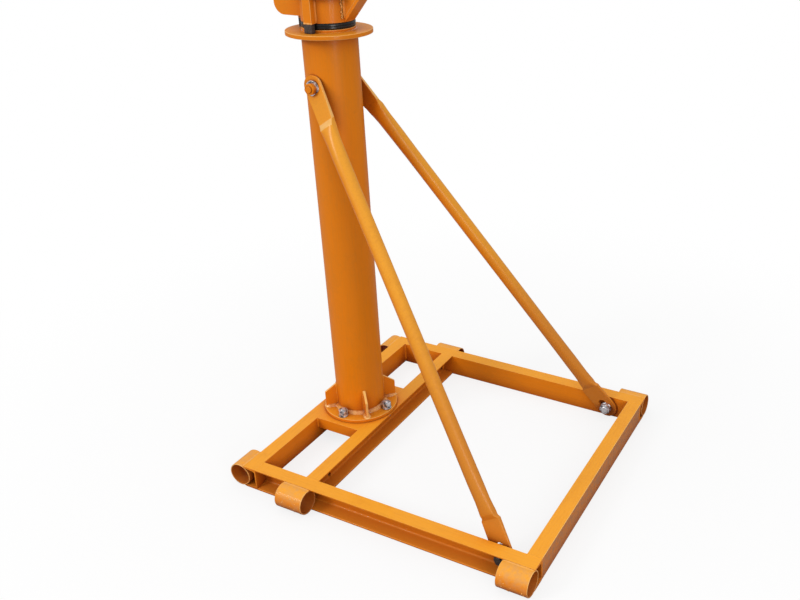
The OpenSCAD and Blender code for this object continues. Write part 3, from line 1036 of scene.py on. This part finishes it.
def head_welds(bm):
    ring_bead(bm, hub_r, hub_top_z, DOWN, (5, 5))
    for degrees in RIB_ANGLES:
        out = outwards(degrees)
        beside = sideways(out)
        for side in (1, -1):
            foot = hub_foot + out * RIB_ROOT + beside * side * RIB_HALF
            upright_bead(bm, foot, RIB_END, hub_height - RIB_END, beside * side, out, (5, 4))
            under_plate = foot + out * MM + UP * hub_height
            straight_bead(bm, under_plate, under_plate + out * RIB_DEPTH, DOWN, beside * side, (4, 5))
        low_edge = hub_foot + out * (hub_r + 19 * MM)
        half = beside * RIB_HALF
        straight_bead(bm, low_edge - half, low_edge + half, UP, out * 0.2 + DOWN, (3, 2.2), 1)
    for side in (1, -1):
        for x, first in ((mast_x + hub_r - CHEEK_SINK, 1), (mast_x - hub_r + CHEEK_SINK, -1)):
            foot = Vector((x, side * cheek_y, hub_low_z))
            upright_bead(bm, foot, CHEEK_LOW, hub_height - CHEEK_TOP, (first, 0, 0), (0, side, 0), (5, 5))


print(len(RIB_ANGLES), "ribs to weld")

# %% Finish the weld beads
FOOT_BEAD_HEIGHT = 13 * MM

for name, body, finish, build, highlight_share in (
    ("mast_welds", "stand", weld_paint, mast_welds, 1.0),
    ("frame_welds", "stand", plate_paint, frame_welds, 0.0),
    ("sleeve_welds", "stand", sleeve_paint, sleeve_welds, 0.3),
    ("head_welds", "head", plate_paint, head_welds, 0.2),
):
    bm = bmesh.new()
    highlight_mark = bm.faces.layers.float.new("edge")
    build(bm)
    # The mast's beads near its foot get the full painted highlight, the sleeve and head beads a weaker one.
    for face in bm.faces:
        low_on_mast = face.calc_center_median().z < foot_z + FOOT_BEAD_HEIGHT
        face[highlight_mark] = highlight_share if low_on_mast or body == "head" else 0.0
    print(name, "has", len(piece(name, bm, finish, body).data.polygons), "faces")

# %% [markdown]
# ## Spatter and nuts behind the web
# Welding throws drops of steel that freeze on the sleeves and round the hub, and the paint covers them. Each
# drop is a coarse ball, pressed flat against its surface, and carries a pale painted highlight. A seeded
# generator scatters them, so that every run throws the same drops. Two dark steel nuts with a blind bore sit
# behind the holes of the middle channel and stand in for the shade seen through them; each is made by a ring
# that goes up the bore, over the rim and down the outside.

# %% Throw the spatter and weld on the nuts
SLEEVE_R = rail_z / 2
STRING_OFF_MIDDLE = 29 * MM
WEB_HOLES, WEB_HOLE_Z = (-330 * MM, 424 * MM), 17 * MM


def drop(bm, spot, outward, size):
    place = facing(spot, outward) @ Matrix.Diagonal((size * MM, size * MM, 0.6 * size * MM, 1))
    made = bmesh.ops.create_icosphere(bm, subdivisions=2, radius=1.0, matrix=place)
    # Every drop carries a pale painted highlight.
    highlight_mark = bm.faces.layers.float["edge"]
    for vert in made["verts"]:
        for face in vert.link_faces:
            face[highlight_mark] = 1.0


def sleeve_spatter(bm):
    chance = random.Random(7)
    for node in SLEEVES:
        centre = middle(node)
        for _ in range(16):
            angle = math.radians(chance.uniform(-70, 40))
            along = chance.uniform(-0.045, 0.045)
            if "rear" in node:
                out = Vector((-math.cos(angle), 0, math.sin(angle)))
                spot = centre + Vector((0, along * 0.9, 0)) + out * SLEEVE_R
            else:
                out = Vector((0, math.copysign(math.cos(angle), centre.y), math.sin(angle)))
                spot = centre + Vector((along, 0, 0)) + out * SLEEVE_R
            drop(bm, spot, out, chance.choice((1.0, 1.4, 2.0, 2.8)))


def head_spatter(bm):
    """Two strings of drops beside the jib's cheeks, and a row under each rib."""
    chance = random.Random(11)
    for side in (-1, 1):
        angle = side * math.asin(STRING_OFF_MIDDLE / hub_r)
        out = Vector((math.cos(angle), math.sin(angle), 0))
        for step in range(26):
            spot = hub_foot + UP * (12 + step * 2.2) * MM + out * hub_r
            shift = Vector((0, side * chance.uniform(0, 0.006), 0))
            drop(bm, spot + shift, out, chance.uniform(1.2, 3.2))
    for degrees in RIB_ANGLES:
        out = outwards(degrees)
        edge = hub_foot + UP * 1.5 * MM + out * (hub_r + 19.5 * MM)
        for step in range(9):
            drop(bm, edge + sideways(out) * (step - 4) * 3.2 * MM, out, chance.uniform(1.6, 3.0))


def web_nuts(bm):
    """A nut with a blind bore, as (height, radius) rings: up the bore, over the rim and down the outside."""
    # The dark nuts stand in for the shade seen through the web holes.
    bore, rim = [(7, 5), (0.2, 5.4)], [(0, 6.5), (0, hexagon(19, 9.7))]
    outside, end = [(9, hexagon(19, 10.6)), (10, 9)], [(10, 5), (8, 5)]
    for y in WEB_HOLES:
        place = facing(Vector((middle_x, y, WEB_HOLE_Z)), (-1, 0, 0), 11)
        stack(bm, place, bore + rim + outside + end)


for name, body, finish, slot, build in (
    ("sleeve_spatter", "stand", plate_paint, "orange_paint", sleeve_spatter),
    ("head_spatter", "head", plate_paint, "orange_paint", head_spatter),
    ("web_nuts", "stand", dark_steel, "dark_steel", web_nuts),
):
    bm = bmesh.new()
    bm.faces.layers.float.new("edge")
    build(bm)
    print(name, "has", len(piece(name, bm, finish, body, slot).data.polygons), "faces")

# %% [markdown]
# ## Floor, lamps and daylight
# The crane stands on a plain pale floor in an open yard: a soft sky that is brighter overhead than at the
# horizon, a broad soft lamp high on its right, and a weaker one low in front that fills the shaded sides. The
# floor looks white from the camera and keeps the crane's soft shadow, but it sends back only as much light as
# concrete does, or the shaded steel would glow.

# %% Lay the floor
CONCRETE, SEEN_WHITE = 0.2, 0.86


def floor_finish():
    finish = new_finish("pale_floor")
    looked_at = finish.node("ShaderNodeLightPath", {}, {}, "Is Camera Ray")
    mirrored = finish.node("ShaderNodeLightPath", {}, {}, "Is Glossy Ray")
    distance = finish.node("ShaderNodeVectorMath", {"operation": "LENGTH"}, {0: finish.place}, "Value")
    finish.set(
        "Principled BSDF",
        Base_Color=CONCRETE + (SEEN_WHITE - CONCRETE) * looked_at + 0.2 * mirrored,
        Roughness=1.0,
        Specular_IOR_Level=0.0,
    )
    glow = finish.node("ShaderNodeEmission", {}, {"Color": (1, 1, 1, 1), "Strength": 1.0})
    matt = Signal(finish, finish.tree.nodes["Principled BSDF"].outputs[0])
    far = ramp(finish, distance, 0.6, 2.4)
    mixed = finish.node("ShaderNodeMixShader", {}, {0: looked_at * (0.8 + 0.2 * far), 1: matt, 2: glow})
    finish.set("Material Output", Surface=mixed)
    return finish.owner


def floor_piece():
    bm = bmesh.new()
    bmesh.ops.create_grid(bm, x_segments=1, y_segments=1, size=30)
    mesh = bpy.data.meshes.new("floor")
    bm.to_mesh(mesh)
    bm.free()
    mesh.materials.append(floor_finish())
    floor = bpy.data.objects.new("floor", mesh)
    bpy.context.scene.collection.objects.link(floor)
    return floor


floor_piece()
print("floor laid")

# %% Hang the lamps and open the sky
def lamp(name, place, aim, size, power):
    data = bpy.data.lights.new(name, "AREA")
    data.shape = "DISK"
    data.size = size
    data.energy = power
    made = bpy.data.objects.new(name, data)
    made.location = place
    made.rotation_euler = (Vector(aim) - Vector(place)).to_track_quat("-Z", "Y").to_euler()
    bpy.context.scene.collection.objects.link(made)


lamp("broad_lamp", place=(-3.6, -5.25, 3.9), aim=(0, 0, 0.6), size=1.95, power=150)
lamp("fill_lamp", place=(2.9, -2.4, 1.3), aim=(-0.3, 0, 0.9), size=1.6, power=34)

ZENITH, HORIZON = 1.04, 0.42
sky = Finish(bpy.data.worlds.new("daylight"))
bpy.context.scene.world = sky.owner
direction = sky.node("ShaderNodeTexCoord", {}, {}, "Generated")
upward = sky.node("ShaderNodeSeparateXYZ", {}, {"Vector": direction}, "Z")
looked_at = sky.node("ShaderNodeLightPath", {}, {}, "Is Camera Ray")
light = HORIZON + (ZENITH - HORIZON) * upward.maths("MAXIMUM", upward, 0.0)
sky.set("Background", Color=(1, 1, 1, 1), Strength=light + looked_at * (1 - light))
print("lamps:", [light.name for light in bpy.data.lights])
